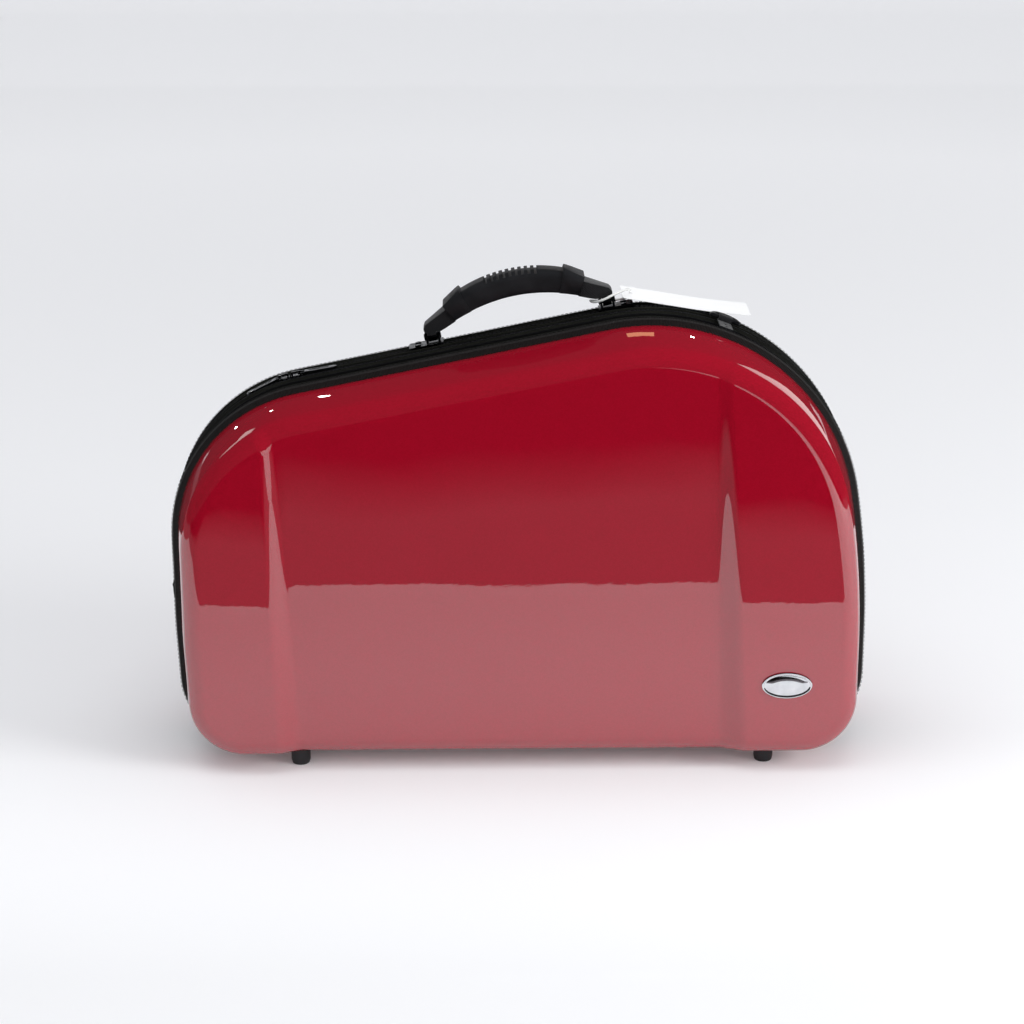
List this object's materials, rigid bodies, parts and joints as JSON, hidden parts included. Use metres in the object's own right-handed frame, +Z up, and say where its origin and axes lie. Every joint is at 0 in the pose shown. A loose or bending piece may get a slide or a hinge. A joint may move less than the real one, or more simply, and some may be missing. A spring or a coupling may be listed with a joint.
{
  "type": "french horn case",
  "caption": "Rigid french horn case standing on its long side: glossy moulded shells joined by a soft zipped band, with a tilting rubber handle, strap rings, feet, oval plate and swing tag.",
  "frame": {"origin": "on the floor, at the centre of the bottom of the whole case's box", "axes": "+Z up; +X to the right as seen from the lid's side, towards the bell end; -Y towards the lid"},
  "size_m": [0.6187, 0.1915, 0.4306],
  "materials": {
    "shell_red": "gloss",
    "band_fabric": "woven",
    "band_binding": "ribbed",
    "zip_tape": "woven",
    "slider_metal": "satin",
    "pull_metal": "satin",
    "foam_lining": "plush",
    "rubber": "matte",
    "steel": "polished",
    "webbing": "woven",
    "ring_plastic": "satin",
    "badge_chrome": "polished",
    "card": "satin",
    "clear_cord": "gloss"
  },
  "bodies": {
    "root": {"rear_shell": "shell_red", "rear_gusset": "band_fabric", "rear_binding": "band_binding", "rear_zip": "zip_tape", "hinge_web": "band_fabric", "rear_liner": "foam_lining", "rear_foot_left": "rubber", "rear_foot_right": "rubber", "rear_foot_screw_left": "steel", "rear_foot_screw_right": "steel", "handle_bracket_left": "steel", "handle_bracket_right": "steel", "handle_pin_left": "steel", "handle_pin_right": "steel", "bracket_rivets_left": "steel", "bracket_rivets_right": "steel", "strap_tab_left": "webbing"},
    "lid": {"front_shell": "shell_red", "front_gusset": "band_fabric", "front_binding": "band_binding", "front_zip": "zip_tape", "front_liner": "foam_lining", "front_foot_left": "rubber", "front_foot_right": "rubber", "front_foot_screw_left": "steel", "front_foot_screw_right": "steel", "badge": "badge_chrome", "strap_tab_right": "webbing"},
    "handle": {"handle_grip": "rubber", "handle_strap": "webbing", "handle_eye_left": "steel", "handle_eye_right": "steel"},
    "slider_left": {"zip_slider_left": "slider_metal"},
    "pull_left": {"zip_pull_left": "pull_metal"},
    "slider_right": {"zip_slider_right": "slider_metal"},
    "pull_right": {"zip_pull_right": "pull_metal"},
    "ring_right": {"strap_ring_right": "ring_plastic"},
    "ring_left": {"strap_ring_left": "ring_plastic"},
    "tag": {"swing_tag": "card", "tag_loop": "clear_cord"}
  },
  "joints": [
    {"name": "lid_hinge", "type": "hinge", "parent": "root", "child": "lid", "pos_m": [0, 0.005, 0.008], "axis": [1, 0, 0], "range_deg": [0, 160]},
    {"name": "handle_tilt", "type": "hinge", "parent": "root", "child": "handle", "pos_m": [-0.00061, 0.02, 0.38415], "axis": [0.9796, 0, 0.2011], "range_deg": [-45, 45]},
    {"name": "left_slider_run", "type": "hinge", "parent": "root", "child": "slider_left", "pos_m": [-0.168, 0.005, 0.20176], "axis": [0, -1, 0], "range_deg": [0, 54]},
    {"name": "left_pull_swing", "type": "hinge", "parent": "slider_left", "child": "pull_left", "pos_m": [-0.20925, 0.005, 0.33578], "axis": [0, 1, 0], "range_deg": [0, 130]},
    {"name": "right_slider_run", "type": "slide", "parent": "root", "child": "slider_right", "axis": [0.9796, 0, 0.2011], "range_m": [0, 0.095]},
    {"name": "right_pull_swing", "type": "hinge", "parent": "slider_right", "child": "pull_right", "pos_m": [-0.19355, 0.005, 0.33964], "axis": [0, -1, 0], "range_deg": [0, 130]},
    {"name": "right_ring_swing", "type": "hinge", "parent": "lid", "child": "ring_right", "pos_m": [0.17727, -0.0013, 0.3876], "axis": [0.9373, 0, -0.3486], "range_deg": [0, 150]},
    {"name": "left_ring_swing", "type": "hinge", "parent": "root", "child": "ring_left", "pos_m": [-0.3094, 0.0185, 0.141], "axis": [0, 1, 0], "range_deg": [0, 150]},
    {"name": "tag_lift", "type": "hinge", "parent": "root", "child": "tag", "pos_m": [0.07691, 0.02, 0.39691], "axis": [0, -1, 0], "range_deg": [0, 46], "deforming": ["tag_loop"]}
  ]
}
